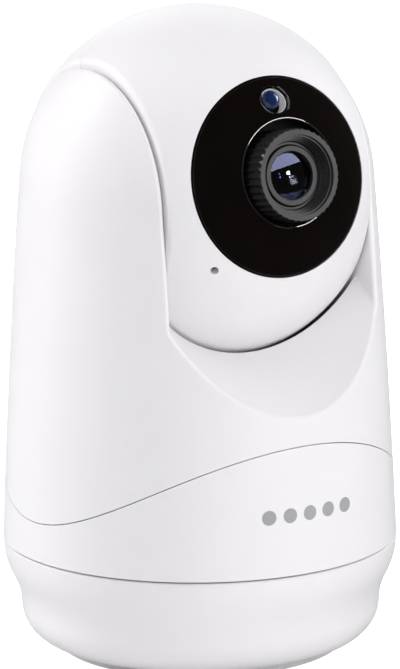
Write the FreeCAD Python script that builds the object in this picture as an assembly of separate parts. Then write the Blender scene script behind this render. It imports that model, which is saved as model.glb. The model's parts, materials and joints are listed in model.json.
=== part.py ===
import FreeCAD, Part
import math
import os

# Pan and tilt baby monitor camera, in millimetres.
# +Z is up and the front faces -Y. The origin is the centre of the foot, on the floor.
# A turret pans on the foot about Z, and a ball-shaped head tilts between its two arms about X.

V = FreeCAD.Vector
X, Y, Z = V(1, 0, 0), V(0, 1, 0), V(0, 0, 1)
ORIGIN = V(0, 0, 0)
BIG = 120.0

# ---- driving dimensions: the outside ----
seam_radius = 38.75         # widest, at the seam between foot and turret
foot_top = 21.7
skirt_bottom = 22.1
tilt_height = 92.0          # height of the tilt axis
dome_radius = 34.6          # rounded shoulders of the arms, about the tilt axis
body_taper = 4.2            # degrees, where the turret's side meets the dome
waist_radius, waist_height = 36.95, 58.0
wall = 2.0
arm_gap = 23.3              # half the slot between the arms
arm_wall = 1.8
rear_rim = 79.0             # top edge of the turret behind the head
rear_rim_corner = 5.0
scoop_radius = 32.0         # the cone-shaped trough in front of the head, at scoop_front
scoop_narrowing = 0.24      # how much smaller its radius gets per millimetre backwards
scoop_front = V(0, -37.3, 87.75)
scoop_rise = 14.2           # degrees, its axis climbing towards the back
scoop_end = -8.0            # where it has run into the space around the head
crease_blend = 1.2          # where the trough's round wall meets the arms' flat walls
rim_round = 0.6             # rounded edge all round the head's slot
wave_middle, wave_swing, wave_sharpness = 38.8, 8.7, -0.5
seam_gap = 0.1              # half the width of a seam between shells
lip_height, lip_wall = 2.5, 0.9

# ---- foot ----
foot_waist_radius, foot_waist_height = 35.3, 8.0
foot_sole_radius, foot_sole_height = 28.8, 1.5
sole_round = V(33.4, 0, 3.7)
cavity_radius = 33.2
deck_bottom, deck_top = 15.7, 17.5
deck_recess_radius = 34.4
plate_radius, plate_bottom, plate_top = 28.6, 1.4, 3.4
pad_radius, pad_bottom = 23.3, 0.6
foot_ring_inner, foot_ring_outer = 23.5, 28.2
insert_radius, insert_length, thread_radius = 4.2, 9.0, 2.6
base_screw_circle, base_screw_angles = 18.0, (-90, 30, 150)
socket_width, socket_height, socket_floor = 7.6, 2.7, 7.2
power_board_top = 7.2

# ---- pan drive ----
shaft_radius, shaft_bore = 6.0, 4.0
shaft_top = 31.0
gear_top = 21.5
hub_bottom, hub_top, hub_radius = 22.5, 29.5, 9.0
running_gap = 0.05
pan_module, pan_gear_teeth, pinion_teeth = 0.8, 45, 12
turntable_radius, turntable_top = 36.45, 24.5
stop_inner, stop_outer, stop_half_width = 29.5, 32.5, 1.6
motor_shaft_radius = 1.5
pan_motor_radius, pan_motor_top, pan_motor_offset = 12.0, 40.5, 5.0
skirt_boss_circle, skirt_boss_radius, skirt_boss_top = 32.0, 3.0, 33.0
board_bottom, board_thickness, board_radius, board_half_depth = 43.0, 1.6, 31.0, 24.0
board_post_angles, board_post_circle = (10, 170, 235), 26.0

# ---- turret details ----
speaker_radius, speaker_height, speaker_front, speaker_depth = 7.2, 38.2, 34.4, 5.0
grille_pitch, grille_hole = 2.5, 0.7
button_height, button_radius, button_proud = 28.6, 2.0, 0.6
button_clearance = 0.15

# ---- head, measured from the tilt axis with the lens looking along -Y ----
rest_tilt = 12.0            # degrees that the lens looks up
head_radius = 35.0
head_half_width = 23.0
head_wall = 2.0
head_edge_round = 1.6
head_clearance = 0.7
axle_radius, axle_bore = 4.0, 2.4
bush_radius = 6.0
tilt_module, tilt_gear_teeth = 0.6, 30
tilt_gear_inner, tilt_gear_outer = 15.0, 18.5
face_radius, face_gap, face_sink, face_thickness = 19.25, 0.1, 0.1, 1.4
face_ledge_radius = 17.3
lens_opening, opening_rise = 10.2, 0.6      # the hole in the face sits a little above the lens
sensor_angle, sensor_radius = 24.9, 3.2   # its bezel faces straight out of the ball
bulb_radius, bulb_height, bulb_centre = 1.9, 14.6, 29.7
microphone_spot = V(-15.2, -27.1, -16.1)
microphone_hole = 0.8

# ---- lens, as distances from the tilt axis ----
focus_radius, focus_back, focus_front = 9.0, 27.2, 37.05
focus_land, focus_step = 7.75, 0.5          # inner edge of its flat front, and its stepped recess
knurls, knurl_radius, knurl_depth = 40, 0.6, 0.4
barrel_radius, barrel_back, barrel_front = 6.0, 19.0, 33.7
front_lens_radius, rear_lens_radius = 4.85, 3.55
retaining_height, retaining_inner, retaining_outer = 0.7, 4.6, 5.85
infrared_board_back, infrared_board_front = 25.6, 26.8
sensor_board_back, sensor_board_front = 12.4, 14.0

taper = math.radians(body_taper)


# ---- shared helpers ----
def box(x0, x1, y0, y1, z0, z1):
    return Part.makeBox(x1 - x0, y1 - y0, z1 - z0, V(x0, y0, z0))


def rod(radius, start, axis, length):
    return Part.makeCylinder(radius, length, start, axis)


def tube(outer, inner, start, axis, length):
    return rod(outer, start, axis, length).cut(rod(inner, start, axis, length))


def ball(radius):
    return Part.makeSphere(radius, V(0, 0, tilt_height))


def polar(radius, degrees, z=0.0):
    angle = math.radians(degrees)
    return V(radius * math.cos(angle), radius * math.sin(angle), z)


def lathe(edges, axis=Z):
    return Part.Face(Part.Wire(edges)).revolve(ORIGIN, axis, 360)


def lathe_points(points, axis=Z):
    return lathe(Part.makePolygon(points + points[:1]).Edges, axis)


def mirrored(shape):
    return shape.mirror(ORIGIN, X)


def as_group(shapes):
    return Part.makeCompound(shapes)


def in_head(shape):
    """Turn a shape drawn level, about the tilt axis, to the head's rest pose."""
    placed = shape.copy()
    placed.rotate(ORIGIN, X, -rest_tilt)
    placed.translate(V(0, 0, tilt_height))
    return placed


def gear(teeth, module, bore, start, axis, length, tooth_at):
    """Spur gear with involute flanks; tooth_at is the direction of one tooth, in degrees."""
    pressure, addendum, dedendum, backlash = math.radians(25), 0.9, 1.15, 0.12
    pitch = teeth * module / 2
    base = pitch * math.cos(pressure)
    root, tip = pitch - dedendum * module, pitch + addendum * module
    half_at_pitch = (math.pi * module / 2 - backlash) / (2 * pitch)
    involute_at_pitch = math.tan(pressure) - pressure

    def half_angle(radius):
        roll = math.acos(min(1.0, base / max(radius, base)))
        return half_at_pitch + involute_at_pitch - (math.tan(roll) - roll)

    steps = [max(root, base) + (tip - max(root, base)) * step / 4 for step in range(5)]
    radii = ([root] if root < base else []) + steps
    points = []
    for tooth in range(teeth):
        middle = 2 * math.pi * tooth / teeth
        flank = [(radius, half_angle(radius)) for radius in radii]
        points += [V(r * math.cos(middle - a), r * math.sin(middle - a), 0) for r, a in flank]
        points += [V(r * math.cos(middle + a), r * math.sin(middle + a), 0) for r, a in flank[::-1]]
    blank = Part.Face(Part.makePolygon(points + points[:1])).extrude(V(0, 0, length))
    blank = blank.cut(rod(bore, ORIGIN, Z, length))
    blank.rotate(ORIGIN, Z, tooth_at)
    if axis == X:
        blank.rotate(ORIGIN, Y, 90)
    blank.translate(start)
    return blank


def cable(points, radius, bend):
    """Round cable along straight runs joined by tangent arcs."""
    edges, here = [], points[0]
    for corner, after in zip(points[1:-1], points[2:]):
        before = (corner - here).normalize()
        onward = (after - corner).normalize()
        turn = before.getAngle(onward)
        reach = bend * math.tan(turn / 2)
        start, end = corner - before * reach, corner + onward * reach
        inward = (onward - before).normalize()
        middle = corner + inward * (bend / math.cos(turn / 2) - bend)
        edges += [Part.makeLine(here, start), Part.Arc(start, middle, end).toShape()]
        here = end
    edges.append(Part.makeLine(here, points[-1]))
    first = (points[1] - points[0]).normalize()
    ring = Part.Wire(Part.makeCircle(radius, points[0], first))
    return Part.Wire(edges).makePipeShell([ring], True, False)


def countersunk_screw(start, axis, head_radius_, shank_radius, head_height, length):
    head = rod(head_radius_, start, axis, head_height)
    shank = rod(shank_radius, start, axis, length)
    slot = box(-0.3, 0.3, -head_radius_ * 0.7, head_radius_ * 0.7, -0.1, 0.5)
    slot = slot.fuse(box(-head_radius_ * 0.7, head_radius_ * 0.7, -0.3, 0.3, -0.1, 0.5))
    slot.Placement = FreeCAD.Placement(start, FreeCAD.Rotation(Z, axis))
    return head.fuse(shank).removeSplitter().cut(slot)


# ---- the outside of the turret ----
def turret_solid(inset):
    """Everything inside the turret's outer surface, set in by a wall thickness."""
    dome = dome_radius - inset
    side = seam_radius - inset
    low = V(side, 0, skirt_bottom)
    floor = 10.0
    shoulder = V(dome * math.cos(taper), 0, tilt_height + dome * math.sin(taper))
    knee = V(dome * math.cos(math.radians(50)), 0, tilt_height + dome * math.sin(math.radians(50)))
    top = V(0, 0, tilt_height + dome)
    bottom = skirt_bottom if inset == 0 else floor
    edges = [
        Part.Arc(low, V(waist_radius - inset, 0, waist_height), shoulder).toShape(),
        Part.Arc(shoulder, knee, top).toShape(),
        Part.makeLine(top, V(0, 0, bottom)),
        Part.makeLine(V(0, 0, bottom), V(side, 0, bottom)),
    ]
    if bottom < skirt_bottom:
        edges.append(Part.makeLine(V(side, 0, bottom), low))
    return lathe(edges)


def below_wave(lift):
    """Ring-shaped solid whose top is the wavy seam around the turret, raised by lift."""
    inner_radius, outer_radius, floor, count = 20.0, 50.0, 0.0, 32

    def loop(radius, wavy):
        points = []
        for step in range(count):
            angle = 2 * math.pi * step / count
            swing = wave_swing * math.cos(2 * angle) + wave_sharpness * math.cos(4 * angle)
            height = wave_middle + swing + lift if wavy else floor
            points.append(V(radius * math.sin(angle), -radius * math.cos(angle), height))
        curve = Part.BSplineCurve()
        curve.interpolate(Points=points, PeriodicFlag=True)
        return curve.toShape()

    top_out, top_in = loop(outer_radius, True), loop(inner_radius, True)
    low_out, low_in = loop(outer_radius, False), loop(inner_radius, False)
    pairs = ((top_out, low_out), (top_in, low_in), (top_out, top_in), (low_out, low_in))
    solid = Part.Solid(Part.Shell([Part.makeRuledSurface(a, b) for a, b in pairs]))
    if solid.Volume < 0:
        solid.reverse()
    return solid


def scoop(extra):
    """The trough in front of the head, widened by a wall thickness."""
    overhang, length = 30.0, 90.0
    rise = math.radians(scoop_rise)
    axis = V(0, math.cos(rise), math.sin(rise))
    wide = scoop_radius + extra + scoop_narrowing * overhang
    narrow = wide - scoop_narrowing * length
    trough = Part.makeCone(wide, narrow, length, scoop_front - axis * overhang, axis)
    half = arm_gap + extra
    above = box(-half, half, -overhang, length - overhang, 0, BIG)
    above.rotate(ORIGIN, X, scoop_rise)
    above.translate(scoop_front)
    slot = box(-half, half, -60, scoop_end, 0, 160)
    return trough.fuse(above).common(slot)


def rear_slot():
    """The space behind the head, above the turret's rear rim."""
    slot = box(-arm_gap, arm_gap, scoop_end - 1, 60, rear_rim, 160)
    low_edges = [edge for edge in slot.Edges
                 if abs(edge.CenterOfMass.z - rear_rim) < 0.01 and abs(edge.CenterOfMass.x) > 1]
    return slot.makeFillet(rear_rim_corner, low_edges)


def head_space():
    return ball(head_radius + head_clearance).common(box(-arm_gap, arm_gap, -60, 60, 0, 160))


def middle_on(edge, shape):
    """Whether the middle of an edge lies on a shape's surface."""
    middle = edge.valueAt((edge.FirstParameter + edge.LastParameter) / 2)
    return Part.Vertex(middle).distToShape(shape.Shells[0])[0] < 0.01


def slotted_turret():
    """The turret as a full body, with the slot for the head cut out and its rim rounded."""
    trough = scoop(0).removeSplitter().Solids[0]
    creases = []
    for edge in trough.Edges:
        kinds = {type(face.Surface).__name__ for face in trough.ancestorsOfType(edge, Part.Face)}
        if kinds == {"Cone", "Plane"} and abs(edge.CenterOfMass.x) > arm_gap - 0.01:
            creases.append(edge)
    slot = trough.makeFillet(crease_blend, creases).fuse(rear_slot()).removeSplitter()
    outer = turret_solid(0)
    body = outer.cut(slot).removeSplitter().Solids[0]
    rim = [edge for edge in body.Edges if middle_on(edge, outer) and middle_on(edge, slot)]
    return body.makeFillet(rim_round, rim)


def upper_shell():
    walls = scoop(arm_wall)
    for side in (-1, 1):
        x0, x1 = sorted((side * arm_gap, side * (arm_gap + arm_wall)))
        walls = walls.fuse(box(x0, x1, -60, 60, 62, 160))
    shell = slotted_turret().cut(turret_solid(wall).cut(walls)).cut(head_space())
    shell = shell.cut(below_wave(seam_gap))
    lip_room = turret_solid(wall - lip_wall - 0.05).common(below_wave(lip_height + seam_gap))
    shell = shell.cut(lip_room)
    shell = shell.cut(rod(axle_radius, V(-30, 0, tilt_height), X, 60))
    return shell


def lower_skirt():
    shell = turret_solid(0).cut(turret_solid(wall))
    skirt = shell.common(below_wave(-seam_gap))
    lip = turret_solid(wall - lip_wall).cut(turret_solid(wall))
    lip = lip.common(below_wave(lip_height)).common(box(-60, 60, -60, 60, skirt_bottom, 160))
    skirt = skirt.fuse(lip)
    keep = turret_solid(wall / 2)
    for angle in (45, 135, 225, 315):
        spot = polar(skirt_boss_circle, angle, turntable_top)
        boss = rod(skirt_boss_radius, spot, Z, skirt_boss_top - turntable_top)
        web = box(0, 6, -1, 1, 0, skirt_boss_top - turntable_top)
        web.rotate(ORIGIN, Z, angle)
        web.translate(spot)
        skirt = skirt.fuse(boss.fuse(web).common(keep))
        skirt = skirt.cut(rod(1.2, spot, Z, 7))
    for hole in grille_spots():
        skirt = skirt.cut(rod(grille_hole, hole, Y, 10))
    skirt = skirt.cut(rod(button_radius + button_clearance, V(0, 30, button_height), Y, 12))
    return skirt


def grille_spots():
    """Hexagonal pattern of sound holes in front of the speaker."""
    spots = []
    for column in range(-2, 3):
        for row in range(-2, 3):
            x = grille_pitch * (column + row / 2)
            z = grille_pitch * row * math.sqrt(3) / 2
            if math.hypot(x, z) < 2.3 * grille_pitch:
                spots.append(V(x, speaker_front, speaker_height + z))
    return spots


# ---- the foot ----
def base_shell():
    waist = V(foot_waist_radius, 0, foot_waist_height)
    brim = V(seam_radius - 0.05, 0, foot_top - 0.3)
    half_x, half_z = (brim.x - waist.x) / 2, (brim.z - waist.z) / 2
    half_turn = math.atan2(half_x, half_z)
    bend = half_z / math.sin(2 * half_turn)
    rise, run = bend * math.sin(half_turn), bend * (1 - math.cos(half_turn))
    middle = V(waist.x + half_x, 0, waist.z + half_z)
    top = V(brim.x - 0.3, 0, foot_top)
    sole = V(foot_sole_radius, 0, foot_sole_height)
    edges = [
        Part.Arc(sole, sole_round, waist).toShape(),
        Part.Arc(waist, V(waist.x + run, 0, waist.z + rise), middle).toShape(),
        Part.Arc(middle, V(brim.x - run, 0, brim.z - rise), brim).toShape(),
        Part.makeLine(brim, top),
        Part.makeLine(top, V(0, 0, foot_top)),
        Part.makeLine(V(0, 0, foot_top), V(0, 0, foot_sole_height)),
        Part.makeLine(V(0, 0, foot_sole_height), sole),
    ]
    shell = lathe(edges)
    cavity = lathe_points([
        V(0, 0, 0), V(plate_radius + 0.1, 0, 0), V(plate_radius + 0.1, 0, plate_top),
        V(cavity_radius, 0, plate_top + 3), V(cavity_radius, 0, deck_bottom), V(0, 0, deck_bottom),
    ])
    shell = shell.cut(cavity)
    shell = shell.cut(rod(deck_recess_radius, V(0, 0, deck_top), Z, 10))
    for angle in base_screw_angles:
        boss = rod(3.5, polar(base_screw_circle, angle, plate_top), Z, deck_bottom - plate_top + 0.5)
        shell = shell.fuse(boss).cut(rod(1.2, polar(base_screw_circle, angle, plate_top), Z, 8))
    shell = shell.fuse(pan_stop(V(0, 1, 0), deck_top - 0.2, deck_top + 2.8))
    shell = shell.cut(rod(shaft_radius, V(0, 0, deck_bottom - 1), Z, 4))
    plug_room = box(-5.4, 5.4, 33.6, 40, socket_floor - 1.9, socket_floor + socket_height + 1.9)
    inlet = box(-socket_width / 2 - 0.1, socket_width / 2 + 0.1, 30, 40,
                socket_floor, socket_floor + socket_height + 0.1)
    return shell.cut(plug_room.makeFillet(1.8, side_edges(plug_room))).cut(inlet)


def side_edges(block):
    """The edges of a box that run along Y."""
    return [edge for edge in block.Edges if abs(edge.tangentAt(edge.FirstParameter).y) > 0.9]


def pan_stop(direction, low, high):
    """Block that ends the pan travel; one on the foot's deck and one under the turntable."""
    y0, y1 = sorted((direction.y * stop_inner, direction.y * stop_outer))
    return box(-stop_half_width, stop_half_width, y0, y1, low, high)


def rubber_foot_ring():
    ring = tube(foot_ring_outer, foot_ring_inner, ORIGIN, Z, plate_bottom)
    rim = [edge for edge in ring.Edges if abs(edge.CenterOfMass.z) < 0.01 and edge.Closed]
    return ring.makeFillet(0.4, rim)


def base_plate():
    plate = rod(plate_radius, V(0, 0, plate_bottom), Z, plate_top - plate_bottom)
    plate = plate.fuse(rod(pad_radius, V(0, 0, pad_bottom), Z, 2))
    plate = plate.fuse(rod(7.0, V(0, 0, plate_top - 0.5), Z, insert_length + pad_bottom + 1.1 - plate_top))
    plate = plate.cut(rod(insert_radius, V(0, 0, pad_bottom), Z, insert_length))
    for angle in base_screw_angles:
        spot = polar(base_screw_circle, angle, pad_bottom)
        plate = plate.cut(rod(1.2, spot, Z, 5)).cut(rod(2.7, spot, Z, 1.8))
    return plate.removeSplitter()


def tripod_insert():
    insert = tube(insert_radius, thread_radius, V(0, 0, pad_bottom), Z, insert_length)
    for height in (3.0, 6.2):
        groove = tube(insert_radius + 1, insert_radius - 0.4, V(0, 0, height), Z, 0.8)
        insert = insert.cut(groove)
    return insert


def base_screws():
    return as_group([
        countersunk_screw(polar(base_screw_circle, angle, pad_bottom + 0.4), Z, 2.5, 1.2, 1.4, 9)
        for angle in base_screw_angles
    ])


def pan_shaft():
    shaft = rod(shaft_radius, V(0, 0, deck_bottom - 1.8), Z, shaft_top - deck_bottom + 1.8)
    shaft = shaft.fuse(rod(10, V(0, 0, deck_bottom - 1.8), Z, 1.8)).removeSplitter()
    shaft = shaft.cut(tube(shaft_radius + 1, shaft_radius - 0.9, V(0, 0, hub_top + 0.1), Z, 0.8))
    return shaft.cut(rod(shaft_bore, V(0, 0, 0), Z, 50))


def pan_gear():
    return gear(pan_gear_teeth, pan_module, shaft_radius, V(0, 0, deck_top), Z, gear_top - deck_top, 90)


def thrust_washer():
    return tube(hub_radius + 0.5, shaft_radius, V(0, 0, gear_top), Z, hub_bottom - gear_top)


def shaft_clip():
    clip = tube(8.2, shaft_radius - 0.9, V(0, 0, hub_top + 0.1), Z, 0.8)
    return clip.cut(box(-4, 4, 0, 12, hub_top, hub_top + 2))


def power_board():
    return box(-9.5, 9.5, 18, 30.4, power_board_top - 1.6, power_board_top)


def power_socket():
    low, high = socket_floor, socket_floor + socket_height
    sleeve = box(-socket_width / 2, socket_width / 2, 28.4, 34.4, low, high)
    sleeve = sleeve.makeFillet(0.7, side_edges(sleeve))
    mouth = box(-socket_width / 2 + 0.35, socket_width / 2 - 0.35, 29.2, 35, low + 0.35, high - 0.35)
    mouth = mouth.makeFillet(0.5, side_edges(mouth))
    tongue = box(-2.6, 2.6, 28.8, 33.4, low + 1.1, high - 0.9)
    return sleeve.cut(mouth).fuse(tongue).removeSplitter()


def pan_cable():
    route = [V(0, 21, power_board_top + 1.4), V(0, 14, 12.1), V(0, 0, 12.1), V(0, 0, board_bottom - 2.7)]
    return cable(route, 1.4, 4.5)


# ---- turret insides ----
def turntable():
    plate = rod(turntable_radius, V(0, 0, hub_bottom), Z, turntable_top - hub_bottom)
    plate = plate.fuse(rod(hub_radius, V(0, 0, hub_bottom), Z, hub_top - hub_bottom))
    for angle in board_post_angles:
        spot = polar(board_post_circle, angle, turntable_top - 0.5)
        plate = plate.fuse(rod(2.3, spot, Z, board_bottom - turntable_top + 0.5))
    plate = plate.fuse(pan_stop(V(0, -1, 0), deck_top + 1.0, hub_bottom + 0.5))
    plate = plate.cut(rod(shaft_radius + running_gap, ORIGIN, Z, 50))
    plate = plate.cut(rod(4.6, pan_pinion_centre(0), Z, 50))
    for angle in (45, 135, 225, 315):
        spot = polar(skirt_boss_circle, angle, 0)
        plate = plate.cut(rod(1.2, spot, Z, 50)).cut(rod(2.4, spot, Z, hub_bottom + 1.0))
    return plate.removeSplitter()


def turret_screws():
    return as_group([
        countersunk_screw(polar(skirt_boss_circle, angle, hub_bottom), Z, 2.3, 1.2, 1.0, 8)
        for angle in (45, 135, 225, 315)
    ])


def pan_pinion_centre(height):
    reach = pan_module * (pan_gear_teeth + pinion_teeth) / 2
    return V(0, -reach, height)


def pan_motor():
    centre = pan_pinion_centre(turntable_top) + V(pan_motor_offset, 0, 0)
    motor = rod(pan_motor_radius, centre, Z, pan_motor_top - turntable_top)
    ears = box(-15.5, 15.5, -3, 3, 0, 0.8)
    ears.rotate(ORIGIN, Z, 40)
    ears.translate(centre)
    nose = rod(4.4, pan_pinion_centre(turntable_top - 1.5), Z, 1.6)
    bore = rod(motor_shaft_radius + running_gap, pan_pinion_centre(0), Z, turntable_top + 6)
    return motor.fuse(ears).fuse(nose).cut(bore).removeSplitter()


def pan_motor_shaft():
    start = pan_pinion_centre(deck_top + 0.2)
    return rod(motor_shaft_radius, start, Z, turntable_top + 6 - start.z - 0.1)


def pan_pinion():
    start = pan_pinion_centre(deck_top + 0.2)
    return gear(pinion_teeth, pan_module, motor_shaft_radius, start, Z, 3.6, 90)


def main_board():
    board = rod(board_radius, V(0, 0, board_bottom), Z, board_thickness)
    return board.common(box(-60, 60, -board_half_depth, board_half_depth, 0, 100))


def board_chips():
    top = board_bottom + board_thickness
    return as_group([
        box(-6, 6, -6, 6, top, top + 1.2),
        box(10, 19, -4, 4, top, top + 1.0),
        box(-8, 3, 12, 21, top, top + 1.8),
        box(8, 14, 12, 17, top, top + 2.6),
        box(-24, -18, -4, 4, top, top + 2.6),
    ])


def cable_socket():
    return box(-4, 4, -3, 3, board_bottom - 2.6, board_bottom)


def speaker():
    start = V(0, speaker_front - speaker_depth, speaker_height)
    frame = rod(speaker_radius, start, Y, speaker_depth)
    cone = Part.makeCone(3.0, 6.2, 1.6, V(0, speaker_front - 1.6, speaker_height), Y)
    cap = Part.makeSphere(2.6, V(0, speaker_front - 2.6, speaker_height))
    return frame.cut(cone).fuse(cap).removeSplitter()


def reset_switch():
    board = box(-7, 7, 29.4, 30.6, turntable_top, 30.7)
    body = box(-2, 2, 30.6, 34.0, button_height - 2, button_height + 2)
    plunger = rod(1.0, V(0, 33.9, button_height), Y, 0.5)
    return board.fuse(body).fuse(plunger).removeSplitter()


def reset_button():
    stem = rod(button_radius, V(0, 35.0, button_height), Y, seam_radius + button_proud - 35.0)
    rim = [edge for edge in stem.Edges if edge.Closed and edge.CenterOfMass.y > seam_radius]
    stem = stem.makeFillet(0.4, rim)
    return stem.fuse(rod(3.0, V(0, 34.9, button_height), Y, 1.0)).removeSplitter()


def wifi_antenna():
    return box(arm_gap + arm_wall, arm_gap + arm_wall + 0.8, -4, 4, 64, 82)


def axle(side):
    """Hollow axle that passes from the head, through its bush, into the arm's wall."""
    start = tilt_gear_inner - 0.2
    length = arm_gap + arm_wall + 2.2 - start
    pin = tube(axle_radius, axle_bore, V(start, 0, 0), X, length)
    pin = pin.fuse(tube(6.4, axle_bore, V(tilt_gear_outer + 0.4, 0, 0), X, 0.9)).removeSplitter()
    placed = in_head(pin)
    return placed if side > 0 else mirrored(placed)


def axle_nuts():
    start = arm_gap + arm_wall
    corners = [V(0, 6.6 * math.cos(math.radians(60 * k)), 6.6 * math.sin(math.radians(60 * k)))
               for k in range(7)]
    nut = Part.Face(Part.makePolygon(corners)).extrude(V(2.0, 0, 0))
    nut.translate(V(start, 0, 0))
    nut = in_head(nut.cut(rod(axle_radius, V(20, 0, 0), X, 10)))
    return as_group([nut, mirrored(nut)])


def tilt_gear():
    width = tilt_gear_outer - tilt_gear_inner
    start = V(tilt_gear_inner, 0, 0)
    return in_head(gear(tilt_gear_teeth, tilt_module, axle_radius, start, X, width, 90))


def head_cable():
    socket_top = board_bottom + board_thickness + 2.6
    route = [
        V(-12.2, 0, tilt_height), V(-30.8, 0, tilt_height), V(-30.8, 0, 55),
        V(-21, 0, 51.5), V(-21, 0, socket_top),
    ]
    return cable(route, 1.0, 3.5)


# ---- head ----
def head_blank(inset):
    """The ball with both sides cut flat; its poles lie on the tilt axis, in what is cut away."""
    globe = Part.makeSphere(head_radius - inset)
    globe.rotate(ORIGIN, Y, 90)
    globe.rotate(ORIGIN, X, 60)
    half = head_half_width - inset
    return globe.common(box(-half, half, -60, 60, -60, 60))


def head_skin():
    outer = head_blank(0)
    rims = [edge for edge in outer.Edges if abs(abs(edge.CenterOfMass.x) - head_half_width) < 0.01]
    skin = outer.makeFillet(head_edge_round, rims).cut(head_blank(head_wall))
    return skin.cut(rod(bush_radius, V(-60, 0, 0), X, 120))


def head_tongue(grow):
    """Locating tongue inside the split between the two half shells."""
    ring = head_blank(head_wall / 2 - grow).cut(head_blank(head_wall))
    ring = ring.common(box(-60, 60, -2.0 - grow, 0.2, -60, 60))
    return ring.cut(rod(bush_radius, V(-60, 0, 0), X, 120))


def bracket_spots():
    return [V(-16, 0, 12), V(16, 0, 12), V(-17, 0, -7), V(17, 0, -7)]


def head_screw_spots():
    return [V(side * 12.0, 0, -22.0) for side in (-1, 1)]


def head_front_shell():
    shell = head_skin().common(box(-60, 60, -60, -seam_gap, -60, 60)).cut(head_tongue(0.05))
    ledge = Part.makeSphere(head_radius - head_wall + 0.3).cut(Part.makeSphere(head_radius - 3.3))
    ledge = ledge.common(rod(face_radius + 2.5, ORIGIN, -Y, 60))
    shell = shell.cut(rod(face_radius + face_gap, ORIGIN, -Y, 60)).fuse(ledge)
    shell = shell.cut(rod(face_ledge_radius, ORIGIN, -Y, 60))
    keep = Part.makeSphere(head_radius - head_wall / 2)
    for spot in bracket_spots():
        post = rod(2.2, spot + V(0, -sensor_board_back, 0), -Y, 30).common(keep)
        shell = shell.fuse(post.cut(rod(face_ledge_radius + 0.4, ORIGIN, -Y, 60)))
    seat = Part.makeSphere(60).cut(Part.makeSphere(face_back_radius()))
    shell = shell.cut(seat.common(rod(face_radius + face_gap, ORIGIN, -Y, 60)))
    for spot in head_screw_spots():
        post = rod(2.6, spot + V(0, -seam_gap, 0), -Y, 30).common(keep)
        shell = shell.fuse(post).cut(rod(1.0, spot, -Y, 9))
    shell = shell.cut(rod(microphone_hole, microphone_at(25), microphone_way(), 20))
    shell = shell.cut(rod(2.05, microphone_at(28), microphone_way(), 4.75))
    return in_head(shell.removeSplitter())


def head_rear_shell():
    shell = head_skin().common(box(-60, 60, 0, 60, -60, 60)).fuse(head_tongue(0))
    keep = head_blank(head_wall / 2)
    for spot in head_screw_spots():
        shell = shell.fuse(rod(3.2, spot, Y, 30).common(keep))
        shell = shell.cut(rod(1.1, spot - V(0, 3, 0), Y, 40)).cut(rod(2.3, spot + V(0, 6, 0), Y, 40))
    for spot in tilt_screw_spots():
        shell = shell.fuse(rod(2.2, V(14.2, spot.y, spot.z), X, 8).common(keep))
        shell = shell.cut(rod(0.9, V(14, spot.y, spot.z), X, 6))
    return in_head(shell.removeSplitter())


def face_back_radius():
    return head_radius - face_sink - face_thickness


def face_panel():
    panel = Part.makeSphere(head_radius - face_sink).cut(Part.makeSphere(face_back_radius()))
    panel = panel.common(rod(face_radius, ORIGIN, -Y, 60)).cut(rod(lens_opening, Z * opening_rise, -Y, 60))
    front = head_radius - face_sink - 0.2
    rims = [edge for edge in panel.Edges if edge.Closed and edge.BoundBox.DiagonalLength > 20
            and edge.Vertexes[0].Point.Length > front]
    panel = panel.makeFillet(0.35, rims)
    return in_head(panel.cut(rod(sensor_radius + 0.05, ORIGIN, sensor_way(), 60)))


def head_screws():
    return as_group([
        in_head(countersunk_screw(spot + V(0, 7.4, 0), -Y, 2.1, 1.0, 1.4, 13))
        for spot in head_screw_spots()
    ])


def bush(side):
    start = head_half_width - head_wall
    sleeve = tube(bush_radius, axle_radius + running_gap, V(start, 0, 0), X, head_wall)
    flange = tube(7.4, axle_radius + running_gap, V(start - 1.0, 0, 0), X, 1.0)
    placed = in_head(sleeve.fuse(flange).removeSplitter())
    return placed if side > 0 else mirrored(placed)


def tilt_pinion_centre(x):
    reach = tilt_module * (tilt_gear_teeth + pinion_teeth) / 2
    return V(x, reach, 0)


def tilt_screw_spots():
    return [V(0, 5.5, -12.5), V(0, 24.5, 7.0)]


def tilt_motor():
    centre = tilt_pinion_centre(-3) + V(0, 2.9, -3.4)
    motor = rod(10, centre, X, 16)
    nose = rod(2.4, tilt_pinion_centre(12.9), X, 1.2)
    bore = rod(1.0 + running_gap, tilt_pinion_centre(6), X, 20)
    return in_head(motor.fuse(nose).cut(bore).removeSplitter())


def tilt_motor_shaft():
    return in_head(rod(1.0, tilt_pinion_centre(6.1), X, tilt_gear_outer - 6.1))


def tilt_pinion():
    half_pitch = 180.0 / pinion_teeth
    start = tilt_pinion_centre(tilt_gear_inner + 0.1)
    return in_head(gear(pinion_teeth, tilt_module, 1.0, start, X, 3.3, 90 + half_pitch))


def tilt_bracket():
    plate = box(13.0, 14.2, 3.5, 27.5, -15.5, 9.8)
    plate = plate.common(Part.makeSphere(head_radius - head_wall - 0.4))
    plate = plate.cut(rod(2.5, tilt_pinion_centre(10), X, 6))
    for spot in tilt_screw_spots():
        plate = plate.cut(rod(1.0, V(10, spot.y, spot.z), X, 10))
    return in_head(plate)


def tilt_screws():
    return as_group([
        in_head(countersunk_screw(V(12.0, spot.y, spot.z), X, 1.8, 0.9, 1.0, 7))
        for spot in tilt_screw_spots()
    ])


def camera_bracket():
    plate = box(-19.5, 19.5, -sensor_board_back, -11.2, -13.5, 14.5)
    plate = plate.cut(rod(2.6, ORIGIN, -Y, 60))
    for spot in bracket_spots():
        plate = plate.cut(rod(1.0, spot, -Y, 30))
    return in_head(plate)


def sensor_board():
    board = box(-12.5, 12.5, -sensor_board_front, -sensor_board_back, -12.5, 12.5)
    return in_head(board.cut(rod(1.1, ORIGIN, -Y, 13)))


def image_sensor():
    return in_head(box(-4, 4, -sensor_board_front - 1.2, -sensor_board_front, -3.5, 3.5))


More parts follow.
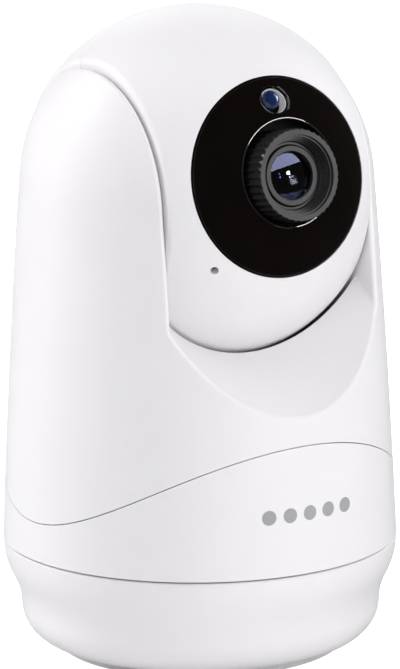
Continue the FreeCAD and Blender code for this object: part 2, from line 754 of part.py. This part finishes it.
def lens_holder():
    front = sensor_board_front
    holder = box(-8, 8, -front - 4, -front, -8, 8)
    holder = holder.fuse(rod(8.0, V(0, -front - 3.5, 0), -Y, focus_back - front - 4.3))
    holder = holder.cut(box(-5.5, 5.5, -front - 2.5, -front, -5.5, 5.5))
    return in_head(holder.cut(rod(barrel_radius + running_gap, V(0, -front - 2, 0), -Y, 40)).removeSplitter())


def infrared_board():
    thickness = infrared_board_front - infrared_board_back
    return in_head(tube(16.8, 9.0, V(0, -infrared_board_back, 0), -Y, thickness))


def infrared_leds():
    leds = []
    for angle in (-60, -20, 20, 160, 200, 240):
        spot = polar(13.0, angle)
        start = V(spot.x, -infrared_board_front, spot.y)
        dome = Part.makeSphere(1.4, start + V(0, -1.3, 0))
        leds.append(in_head(rod(1.4, start, -Y, 1.3).fuse(dome).removeSplitter().common(
            rod(2.0, start, -Y, 4))))
    return as_group(leds)


def sensor_way():
    return V(0, -math.cos(math.radians(sensor_angle)), math.sin(math.radians(sensor_angle)))


def sensor_bezel():
    ring = tube(sensor_radius, sensor_radius - 0.4, sensor_way() * face_back_radius(), sensor_way(), 4)
    return in_head(ring.common(Part.makeSphere(head_radius)))


def light_sensor():
    foot = V(0, -infrared_board_front, bulb_height)
    flange = rod(bulb_radius + 0.3, foot, -Y, 0.8)
    stem = rod(bulb_radius, foot, -Y, bulb_centre - infrared_board_front)
    dome = Part.makeSphere(bulb_radius, V(0, -bulb_centre, bulb_height), -Y)
    return in_head(flange.fuse(stem).fuse(dome).removeSplitter())


def microphone_way():
    return V(microphone_spot).normalize()


def microphone_at(distance):
    return microphone_way() * distance


def microphone():
    return in_head(rod(2.0, microphone_at(31.2), microphone_way(), 1.5))


def camera_lead():
    route = [V(-11.9, 0, 0), V(0, 0, 0), V(0, -sensor_board_back + 0.1, 0)]
    return in_head(cable(route, 0.9, 4.0))


# ---- lens ----
def focus_ring():
    steps, cone_foot = 4, (6.4, barrel_front + 0.2)
    outline = [
        (barrel_radius, focus_back), (focus_radius, focus_back), (focus_radius, focus_front - 0.3),
        (focus_radius - 0.3, focus_front), (focus_land, focus_front),
    ]
    for step in range(steps):
        radius = focus_land - 0.4 - (focus_land - 0.4 - cone_foot[0]) * step / steps
        depth = focus_front - focus_step - (focus_front - focus_step - cone_foot[1]) * step / steps
        outline += [(outline[-1][0], depth), (radius, depth)]
    outline += [cone_foot, (barrel_radius, cone_foot[1])]
    ring = lathe_points([V(radius, -along, 0) for radius, along in outline], Y)
    groove = rod(knurl_radius, V(focus_radius + knurl_radius - knurl_depth, -focus_back + 1, 0),
                 -Y, focus_front - focus_back + 2)
    grooves = []
    for count in range(knurls):
        copy = groove.copy()
        copy.rotate(ORIGIN, Y, 360.0 * count / knurls)
        grooves.append(copy)
    return in_head(ring.cut(as_group(grooves)))


def lens_barrel():
    bore = rear_lens_radius + 0.05
    barrel = tube(barrel_radius, bore, V(0, -barrel_back, 0), -Y, barrel_front - barrel_back)
    seat = rod(front_lens_radius + 0.05, V(0, -barrel_front + 2.6, 0), -Y, 10)
    return in_head(barrel.cut(seat))


def retaining_ring():
    front = barrel_front + retaining_height
    outline = [
        (retaining_inner, barrel_front), (retaining_outer, barrel_front),
        (retaining_outer, front - 0.2), (retaining_outer - 0.2, front),
        (retaining_inner + 0.15, front), (retaining_inner, front - 0.3),
    ]
    return in_head(lathe_points([V(radius, -along, 0) for radius, along in outline], Y))


def lens_element(radius, back, edge_front, crown):
    """Glass disc with a flat back and a domed front."""
    rim = V(radius, -edge_front, 0)
    top = V(0, -edge_front - crown, 0)
    bulge = (radius ** 2 + crown ** 2) / (2 * crown)
    half = math.asin(radius / bulge) / 2
    middle = V(bulge * math.sin(half), -(edge_front + crown - bulge + bulge * math.cos(half)), 0)
    edges = [
        Part.makeLine(V(0, -back, 0), V(radius, -back, 0)), Part.makeLine(V(radius, -back, 0), rim),
        Part.Arc(rim, middle, top).toShape(), Part.makeLine(top, V(0, -back, 0)),
    ]
    return in_head(lathe(edges, Y))


def front_lens():
    return lens_element(front_lens_radius, barrel_front - 2.5, barrel_front - 0.1, 0.9)


def rear_lens():
    return lens_element(rear_lens_radius, 22.0, 24.0, 0.8)


PARTS = {
    "rubber_foot_ring": rubber_foot_ring, "base_plate": base_plate, "base_shell": base_shell,
    "tripod_insert": tripod_insert, "base_screws": base_screws, "pan_shaft": pan_shaft,
    "pan_gear": pan_gear, "thrust_washer": thrust_washer, "shaft_clip": shaft_clip,
    "power_board": power_board, "power_socket": power_socket, "pan_cable": pan_cable,
    "lower_skirt": lower_skirt, "upper_shell": upper_shell, "turntable": turntable,
    "turret_screws": turret_screws, "pan_motor": pan_motor, "pan_motor_shaft": pan_motor_shaft,
    "pan_pinion": pan_pinion, "main_board": main_board, "board_chips": board_chips,
    "cable_socket": cable_socket, "speaker": speaker, "reset_switch": reset_switch,
    "reset_button": reset_button, "wifi_antenna": wifi_antenna,
    "left_axle": lambda: axle(-1), "right_axle": lambda: axle(1), "axle_nuts": axle_nuts,
    "tilt_gear": tilt_gear, "head_cable": head_cable,
    "head_front_shell": head_front_shell, "head_rear_shell": head_rear_shell,
    "face_panel": face_panel, "head_screws": head_screws,
    "left_bush": lambda: bush(-1), "right_bush": lambda: bush(1),
    "tilt_motor": tilt_motor, "tilt_motor_shaft": tilt_motor_shaft, "tilt_pinion": tilt_pinion,
    "tilt_bracket": tilt_bracket, "tilt_screws": tilt_screws, "camera_bracket": camera_bracket,
    "sensor_board": sensor_board, "image_sensor": image_sensor, "lens_holder": lens_holder,
    "infrared_board": infrared_board, "infrared_leds": infrared_leds,
    "sensor_bezel": sensor_bezel, "light_sensor": light_sensor, "microphone": microphone,
    "camera_lead": camera_lead, "focus_ring": focus_ring, "lens_barrel": lens_barrel,
    "retaining_ring": retaining_ring, "front_lens": front_lens, "rear_lens": rear_lens,
}

os.makedirs("parts", exist_ok=True)
for name, make in PARTS.items():
    shape = make()
    solids = [solid for solid in shape.Solids if solid.Volume > 1e-3]
    print(name, "solids", len(solids), "valid", shape.isValid(), "volume %.1f" % shape.Volume)
    shape = solids[0] if len(solids) == 1 else Part.makeCompound(solids)
    shape.exportStep("parts/" + name + ".step")
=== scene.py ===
import json
import math

import bpy
from mathutils import Matrix, Vector

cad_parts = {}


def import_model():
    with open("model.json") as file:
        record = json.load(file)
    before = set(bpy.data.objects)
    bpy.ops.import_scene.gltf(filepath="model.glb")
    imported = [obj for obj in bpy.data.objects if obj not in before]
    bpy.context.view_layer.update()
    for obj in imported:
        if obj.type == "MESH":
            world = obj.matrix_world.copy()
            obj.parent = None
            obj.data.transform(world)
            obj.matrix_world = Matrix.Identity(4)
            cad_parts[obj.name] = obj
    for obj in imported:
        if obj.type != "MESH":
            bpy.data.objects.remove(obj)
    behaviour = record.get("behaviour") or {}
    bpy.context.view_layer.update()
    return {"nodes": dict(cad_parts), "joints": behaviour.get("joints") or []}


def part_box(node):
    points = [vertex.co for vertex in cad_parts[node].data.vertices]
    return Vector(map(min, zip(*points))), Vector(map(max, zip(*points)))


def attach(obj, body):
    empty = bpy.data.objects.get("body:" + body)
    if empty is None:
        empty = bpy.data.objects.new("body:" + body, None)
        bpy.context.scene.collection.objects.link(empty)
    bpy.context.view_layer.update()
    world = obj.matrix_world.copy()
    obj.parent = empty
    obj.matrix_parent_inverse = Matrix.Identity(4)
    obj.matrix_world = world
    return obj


# Baby monitor camera in a white studio. Lengths are in metres, +Z is up, the front faces -Y.

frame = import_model()

nodes = frame["nodes"]
scene = bpy.context.scene
scene.view_settings.view_transform = "Standard"
MM = 0.001


# ---- material helpers ----
def new_material(name):
    """An empty node material with its output and a Principled shader."""
    material = bpy.data.materials.new(name)
    material.use_nodes = True
    tree = material.node_tree
    tree.nodes.clear()
    output = tree.nodes.new("ShaderNodeOutputMaterial")
    shader = tree.nodes.new("ShaderNodeBsdfPrincipled")
    tree.links.new(shader.outputs["BSDF"], output.inputs["Surface"])
    return material, tree, shader


def noise(tree, size, detail=2.0, roughness=0.5):
    """Noise in the object's own space with features of about the given size."""
    place = tree.nodes.new("ShaderNodeTexCoord")
    texture = tree.nodes.new("ShaderNodeTexNoise")
    texture.inputs["Scale"].default_value = 1 / size
    texture.inputs["Detail"].default_value = detail
    texture.inputs["Roughness"].default_value = roughness
    tree.links.new(place.outputs["Object"], texture.inputs["Vector"])
    return texture.outputs["Fac"]


def spread(tree, value, low, high):
    """Maps the middle of a 0 to 1 pattern to the range from low to high."""
    ranged = tree.nodes.new("ShaderNodeMapRange")
    ranged.inputs["From Min"].default_value = 0.3
    ranged.inputs["From Max"].default_value = 0.7
    ranged.inputs["To Min"].default_value = low
    ranged.inputs["To Max"].default_value = high
    tree.links.new(value, ranged.inputs["Value"])
    return ranged.outputs["Result"]


def two_tones(tree, value, first, second):
    """Mixes two colours by a 0 to 1 value."""
    mix = tree.nodes.new("ShaderNodeMix")
    mix.data_type = "RGBA"
    mix.inputs["A"].default_value = (*first, 1)
    mix.inputs["B"].default_value = (*second, 1)
    tree.links.new(value, mix.inputs["Factor"])
    return mix.outputs["Result"]


def bump(tree, shader, height, depth):
    """Relief of the given depth in metres from a height pattern."""
    node = tree.nodes.new("ShaderNodeBump")
    node.inputs["Distance"].default_value = depth
    tree.links.new(height, node.inputs["Height"])
    tree.links.new(node.outputs["Normal"], shader.inputs["Normal"])


def moulded(name, light, dark, rough, grain, grain_depth, specular=0.5, patch=0.012):
    """Moulded plastic: slow drift in tone and gloss, and a fine grain."""
    material, tree, shader = new_material(name)
    drift = spread(tree, noise(tree, patch), 0, 1)
    tree.links.new(two_tones(tree, drift, dark, light), shader.inputs["Base Color"])
    tree.links.new(spread(tree, noise(tree, patch / 3), *rough), shader.inputs["Roughness"])
    shader.inputs["Specular IOR Level"].default_value = specular
    bump(tree, shader, noise(tree, grain, 3.0), grain_depth)
    return material


def metal(name, light, dark, rough, grain, grain_depth):
    """The moulded finish with a metal's colour and reflections."""
    material = moulded(name, light, dark, rough, grain, grain_depth)
    material.node_tree.nodes["Principled BSDF"].inputs["Metallic"].default_value = 1.0
    return material


def glass(name, tint, rough, ior, dust=0.004):
    """Clear polished plastic or glass with the faintest dust."""
    material, tree, shader = new_material(name)
    cloud = spread(tree, noise(tree, dust), 0, 1)
    paler = tuple(min(1.0, part * 1.04) for part in tint)
    tree.links.new(two_tones(tree, cloud, tint, paler), shader.inputs["Base Color"])
    tree.links.new(spread(tree, noise(tree, dust / 2), *rough), shader.inputs["Roughness"])
    shader.inputs["Transmission Weight"].default_value = 1.0
    shader.inputs["IOR"].default_value = ior
    return material


# ---- materials, one for each slot of the record ----
looks = {
    "shell_white": moulded("white_plastic", (0.868, 0.852, 0.875), (0.856, 0.840, 0.863),
                           (0.34, 0.42), 0.35 * MM, 0.004 * MM),
    "face_black": moulded("gloss_black", (0.0045, 0.0030, 0.0030), (0.0032, 0.0022, 0.0022),
                          (0.06, 0.09), 2 * MM, 0.001 * MM, specular=0.12),
    "lens_black": moulded("satin_black", (0.014, 0.014, 0.015), (0.009, 0.009, 0.010),
                          (0.22, 0.28), 0.25 * MM, 0.004 * MM),
    "lens_glass": glass("coated_glass", (0.14, 0.15, 0.19), (0.0, 0.005), 1.52),
    "bezel_clear": glass("clear_plastic", (0.95, 0.96, 1.0), (0.02, 0.06), 1.49),
    "sensor_bulb": moulded("dark_bulb", (0.006, 0.020, 0.085), (0.004, 0.015, 0.065),
                           (0.03, 0.06), 1.5 * MM, 0.001 * MM, specular=0.8),
    "foot_rubber": moulded("white_rubber", (0.80, 0.79, 0.80), (0.74, 0.73, 0.74),
                           (0.62, 0.75), 0.3 * MM, 0.01 * MM),
    "brass": metal("brass", (0.80, 0.62, 0.30), (0.72, 0.54, 0.25), (0.25, 0.38),
                   0.4 * MM, 0.004 * MM),
    "steel": metal("steel", (0.62, 0.62, 0.63), (0.52, 0.52, 0.53), (0.25, 0.40),
                   0.4 * MM, 0.004 * MM),
    "gear_plastic": moulded("gear_plastic", (0.72, 0.71, 0.66), (0.66, 0.65, 0.60),
                            (0.38, 0.50), 0.3 * MM, 0.006 * MM),
    "circuit_board": moulded("circuit_board", (0.02, 0.15, 0.06), (0.015, 0.10, 0.045),
                             (0.30, 0.45), 0.6 * MM, 0.01 * MM, patch=0.004),
    "component_black": moulded("component_black", (0.030, 0.030, 0.031), (0.020, 0.020, 0.021),
                               (0.45, 0.60), 0.2 * MM, 0.008 * MM),
    "cable_grey": moulded("soft_grey", (0.36, 0.36, 0.37), (0.31, 0.31, 0.32),
                          (0.50, 0.62), 0.3 * MM, 0.006 * MM),
}
for node in nodes.values():
    for part in node.material_slots:
        part.material = looks[part.material.name.split(".")[0]]


# ---- shared geometry ----
def lens_way():
    """Direction of the lens axis at rest, from the joint that turns the focus ring."""
    axis = next(joint["axis"] for joint in frame["joints"] if joint["name"] == "focus")
    way = Vector(axis).normalized()
    return way if way.y < 0 else -way


def tilt_centre():
    """Middle of the ball head, from the joint that tilts it."""
    place = next(joint["pos_m"] for joint in frame["joints"] if joint["name"] == "tilt")
    return Vector(place)


def add_piece(name, verts, faces, look, body):
    """A Blender piece that rides on a CAD body, with the finish it is given."""
    mesh = bpy.data.meshes.new(name)
    mesh.from_pydata(verts, [], faces)
    mesh.update()
    mesh.materials.append(look)
    piece = bpy.data.objects.new(name, mesh)
    scene.collection.objects.link(piece)
    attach(piece, body)
    return piece


def lathe(name, outline, along, sides, body, look, shift=Vector()):
    """Turns an outline of (radius, distance from the tilt centre) round the direction along."""
    across = along.orthogonal().normalized()
    upward = along.cross(across)
    verts, faces = [], []
    for radius, distance in outline:
        for side in range(sides):
            turn = 2 * math.pi * side / sides
            spoke = across * math.cos(turn) + upward * math.sin(turn)
            verts.append(tilt_centre() + shift + along * distance + spoke * radius)
    for row in range(len(outline) - 1):
        for side in range(sides):
            after = (side + 1) % sides
            faces.append((row * sides + side, row * sides + after,
                          (row + 1) * sides + after, (row + 1) * sides + side))
    return add_piece(name, verts, faces, look, body)


# ---- generic mark on the front: a row of plain grey dots ----
def front_dots():
    """Flat printed dots that follow the skirt's surface, where such a product has its mark."""
    skirt = nodes["lower_skirt"]
    count, pitch, radius = 5, 4.4 * MM, 1.45 * MM
    height, off_centre, print_thickness = 33.9 * MM, 0.75 * MM, 0.02 * MM
    sides, rings = 40, 3
    ahead = -0.1                # rays towards the skirt start in front of the object
    verts, faces = [], []

    def on_skirt(x, z):
        _, spot, normal, _ = skirt.ray_cast(Vector((x, ahead, z)), Vector((0, 1, 0)))
        return spot + normal * print_thickness

    for dot in range(count):
        middle = off_centre + (dot - (count - 1) / 2) * pitch
        first = len(verts)
        verts.append(on_skirt(middle, height))
        for ring in range(1, rings + 1):
            reach = radius * ring / rings
            for side in range(sides):
                turn = 2 * math.pi * side / sides
                verts.append(on_skirt(middle + reach * math.cos(turn), height + reach * math.sin(turn)))
        for side in range(sides):
            after = (side + 1) % sides
            faces.append((first, first + 1 + side, first + 1 + after))
            for ring in range(rings - 1):
                inner, outer = first + 1 + ring * sides, first + 1 + (ring + 1) * sides
                faces.append((inner + side, outer + side, outer + after, inner + after))
    print_grey = moulded("grey_print", (0.40, 0.40, 0.41), (0.37, 0.37, 0.38),
                         (0.45, 0.55), 0.2 * MM, 0.002 * MM)
    dots = add_piece("front_dots", verts, faces, print_grey, "turret")
    for face in dots.data.polygons:
        face.use_smooth = True


# ---- lens, face and light sensor: what the CAD nodes leave plain ----
def lens_baffles():
    """Stepped black funnel inside the barrel, which stops stray light behind the front glass."""
    steps, sides = 4, 64
    wide, narrow, ledge = 3.5 * MM, 1.3 * MM, 0.5 * MM
    near, far = 30.9 * MM, 25.5 * MM
    outline = []
    for step in range(steps):
        radius = wide - (wide - narrow) * step / (steps - 1)
        depth = near - (near - far) * step / (steps - 1)
        outline += [(wide, depth), (radius, depth), (radius, depth - ledge), (wide, depth - ledge)]
    deep = moulded("deep_black", (0.005, 0.005, 0.006), (0.003, 0.003, 0.004),
                   (0.5, 0.6), 0.3 * MM, 0.004 * MM, specular=0.05)
    lathe("lens_baffles", outline, lens_way(), sides, "lens", deep)
    # The barrel is deep black inside, like the baffles. The microphone takes the same deep black as
    # painted shade, so that its small hole looks dark.
    for dark in ("lens_barrel", "microphone"):
        for part in nodes[dark].material_slots:
            part.material = deep


def face_edges():
    """Polished rounded edges of the black face: round its hole, and just inside its rim."""
    along = lens_way()
    hole_rise = 0.6 * MM
    rise = (Vector((0, 0, 1)) - along * along.z).normalized() * hole_rise
    polished = moulded("polished_black", (0.006, 0.005, 0.005), (0.004, 0.003, 0.003),
                       (0.04, 0.07), 2 * MM, 0.001 * MM, specular=0.9)
    sides, steps = 160, 8

    def bead(name, inner, front, size, shift):
        outline = []
        for step in range(steps + 1):
            turn = math.pi * step / steps
            outline.append((inner + size - size * math.cos(turn), front + size * math.sin(turn)))
        lathe(name, outline, along, sides, "head", polished, shift)

    bead("face_hole_edge", 10.2 * MM, 33.32 * MM, 0.22 * MM, rise)
    bead("face_outer_edge", 18.75 * MM, 29.36 * MM, 0.10 * MM, Vector())


def sensor_collar():
    """Bright funnel round the light sensor's bulb, square to the ball's surface."""
    low, high = (Vector(corner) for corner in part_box("sensor_bezel"))
    outward = ((low + high) / 2 - tilt_centre()).normalized()
    sides = 64
    inside = [(2.0 * MM, 32.6 * MM), (2.3 * MM, 33.5 * MM), (2.5 * MM, 34.3 * MM)]
    outside = [(2.6 * MM, 34.3 * MM), (2.4 * MM, 33.3 * MM), (2.1 * MM, 32.5 * MM)]
    silver = moulded("bright_plastic", (0.88, 0.88, 0.90), (0.80, 0.80, 0.83),
                     (0.12, 0.20), 0.3 * MM, 0.004 * MM)
    lathe("sensor_collar", inside + outside + inside[:1], outward, sides, "head", silver)


front_dots()
lens_baffles()
face_edges()
sensor_collar()


# ---- floor, world, lights ----
def floor():
    """Wide pale floor that looks nearly white and throws no light of its own on the object."""
    half, cloud, seen_glow = 12.0, 0.5, 0.95
    mesh = bpy.data.meshes.new("floor")
    mesh.from_pydata([(-half, -half, 0), (half, -half, 0), (half, half, 0), (-half, half, 0)], [],
                     [(0, 1, 2, 3)])
    plane = bpy.data.objects.new("floor", mesh)
    plane.visible_glossy = False
    scene.collection.objects.link(plane)
    material, tree, shader = new_material("floor_white")
    tone = spread(tree, noise(tree, cloud), 0, 1)
    white = two_tones(tree, tone, (0.90, 0.90, 0.90), (0.92, 0.92, 0.92))
    tree.links.new(white, shader.inputs["Base Color"])
    shader.inputs["Roughness"].default_value = 0.9
    shader.inputs["Specular IOR Level"].default_value = 0.1
    rays = tree.nodes.new("ShaderNodeLightPath")
    glow = tree.nodes.new("ShaderNodeMath")
    glow.operation = "MULTIPLY"
    glow.inputs[1].default_value = seen_glow
    tree.links.new(rays.outputs["Is Camera Ray"], glow.inputs[0])
    shader.inputs["Emission Color"].default_value = (1, 1, 1, 1)
    tree.links.new(glow.outputs["Value"], shader.inputs["Emission Strength"])
    mesh.materials.append(material)


def world(ambient, seen_by_gloss, seen_by_camera):
    """White to the camera, dim as light and in reflections."""
    light = bpy.data.worlds.new("studio")
    light.use_nodes = True
    scene.world = light
    tree = light.node_tree
    tree.nodes.clear()
    output = tree.nodes.new("ShaderNodeOutputWorld")
    rays = tree.nodes.new("ShaderNodeLightPath")

    def background(strength):
        node = tree.nodes.new("ShaderNodeBackground")
        node.inputs["Color"].default_value = (1, 1, 1, 1)
        node.inputs["Strength"].default_value = strength
        return node.outputs["Background"]

    def choose(ray, usual, special):
        mix = tree.nodes.new("ShaderNodeMixShader")
        tree.links.new(rays.outputs[ray], mix.inputs["Fac"])
        tree.links.new(usual, mix.inputs[1])
        tree.links.new(special, mix.inputs[2])
        return mix.outputs["Shader"]

    lit = choose("Is Glossy Ray", background(ambient), background(seen_by_gloss))
    white = choose("Is Camera Ray", lit, background(seen_by_camera))
    tree.links.new(white, output.inputs["Surface"])


def direction(azimuth, elevation):
    """Unit vector away from the object; azimuth 0 is in front of it and 90 towards +X."""
    turn, rise = math.radians(azimuth), math.radians(elevation)
    return Vector((math.sin(turn) * math.cos(rise), -math.cos(turn) * math.cos(rise), math.sin(rise)))


def soft_light(name, azimuth, elevation, size, power, colour=(1, 1, 1), gloss=True, only=(),
               roll=0.0, aim=Vector((0, 0, 0.07)), away=1.0):
    """Area light that faces its aim.

    With gloss off, no reflection and no glass shows it. The pieces named in only are all that it lights.
    """
    data = bpy.data.lights.new(name, "AREA")
    data.shape = "RECTANGLE"
    data.size, data.size_y = size
    data.energy = power
    data.color = colour
    lamp = bpy.data.objects.new(name, data)
    towards = direction(azimuth, elevation)
    facing = towards.to_track_quat("Z", "Y").to_matrix() @ Matrix.Rotation(math.radians(roll), 3, "Z")
    lamp.matrix_world = Matrix.Translation(aim + towards * away) @ facing.to_4x4()
    lamp.visible_glossy = gloss
    lamp.visible_transmission = gloss
    lamp.visible_camera = False
    scene.collection.objects.link(lamp)
    if only:
        lit = bpy.data.collections.new(name + "_lights")
        for piece in only:
            lit.objects.link(nodes[piece] if piece in nodes else bpy.data.objects[piece])
        lamp.light_linking.receiver_collection = lit


floor()
world(ambient=0.04, seen_by_gloss=0.06, seen_by_camera=1.05)

# soft boxes round the object; left is towards -X
box_size = (0.6, 0.9)
soft_light("left_back", -136, 20, box_size, 9.4, gloss=False)
soft_light("left_shine", -144, 38, (0.22, 0.26), 0.8)
soft_light("front_left", -24, 20, box_size, 2.3, gloss=False)
soft_light("front", 10, 25, box_size, 3.3, gloss=False)
soft_light("front_right", 40, 20, box_size, 2.0, gloss=False)
soft_light("right", 112, 20, box_size, 4.3, gloss=False)
soft_light("right_back", 148, 20, box_size, 1.5)
soft_light("top", -30, 80, (0.8, 0.8), 3.3, gloss=False)
soft_light("high_right", 60, 55, (0.5, 0.5), 0.9, gloss=False)

# what the front glass mirrors: a pale blue sky, a spark and two blue dots
lens_spot = tilt_centre() + lens_way() * 33 * MM        # near the front glass
glass_only = ("front_lens",)
sky_blue, dot_blue = (0.55, 0.60, 1.0), (0.1, 0.15, 1.0)
dot_size, dot_power = (0.03, 0.03), 0.12
soft_light("sky", 35, 47.4, (1.5, 0.9), 34, sky_blue, only=glass_only, roll=-4, aim=lens_spot)
soft_light("spark", 26.5, 13.6, (0.11, 0.09), 1.0, only=glass_only, aim=lens_spot)
soft_light("blue_dot", 10, 14.6, dot_size, dot_power, dot_blue, only=glass_only, aim=lens_spot)
soft_light("blue_dot_low", 10, 10, dot_size, dot_power, dot_blue, only=glass_only, aim=lens_spot)

# glints on the lens rings, the face's polished edges, and the light sensor
lens_rings = ("focus_ring", "retaining_ring")
soft_light("lens_front", 33, 11, (0.5, 0.5), 1.9, only=lens_rings, aim=lens_spot)
soft_light("knurl_shine", -75, 40, (0.1, 0.5), 10.0, only=("focus_ring",), aim=lens_spot)
soft_light("hole_edge_light", 30, 38, (1.0, 0.5), 30.0, only=("face_hole_edge",), aim=lens_spot)
soft_light("outer_edge_light", -12, 25, (0.4, 0.7), 10.0, only=("face_outer_edge",), aim=lens_spot)
soft_light("bulb_shine", 85, -5, (0.5, 1.0), 14.0, only=("light_sensor", "sensor_collar"),
           aim=lens_spot, away=0.9)
soft_light("sensor_box", 80, 15, (0.8, 1.4), 6.0, only=("light_sensor", "sensor_bezel"), aim=lens_spot)


# ---- camera ----
def camera(azimuth, elevation, distance, lens, aim, roll):
    """Long lens that looks at its aim from the given side, with the horizon tipped by roll."""
    data = bpy.data.cameras.new("camera")
    data.lens = lens
    data.sensor_width = 36.0
    eye = bpy.data.objects.new("camera", data)
    back = direction(azimuth, elevation)
    facing = (-back).to_track_quat("-Z", "Y").to_matrix()
    facing = facing @ Matrix.Rotation(math.radians(roll), 3, "Z")
    eye.matrix_world = Matrix.Translation(Vector(aim) + back * distance) @ facing.to_4x4()
    scene.collection.objects.link(eye)
    scene.camera = eye


camera(azimuth=-32.5, elevation=13.3, distance=1.2, lens=330.0,
       aim=(0.00037, -0.0001, 0.0616), roll=-0.5)
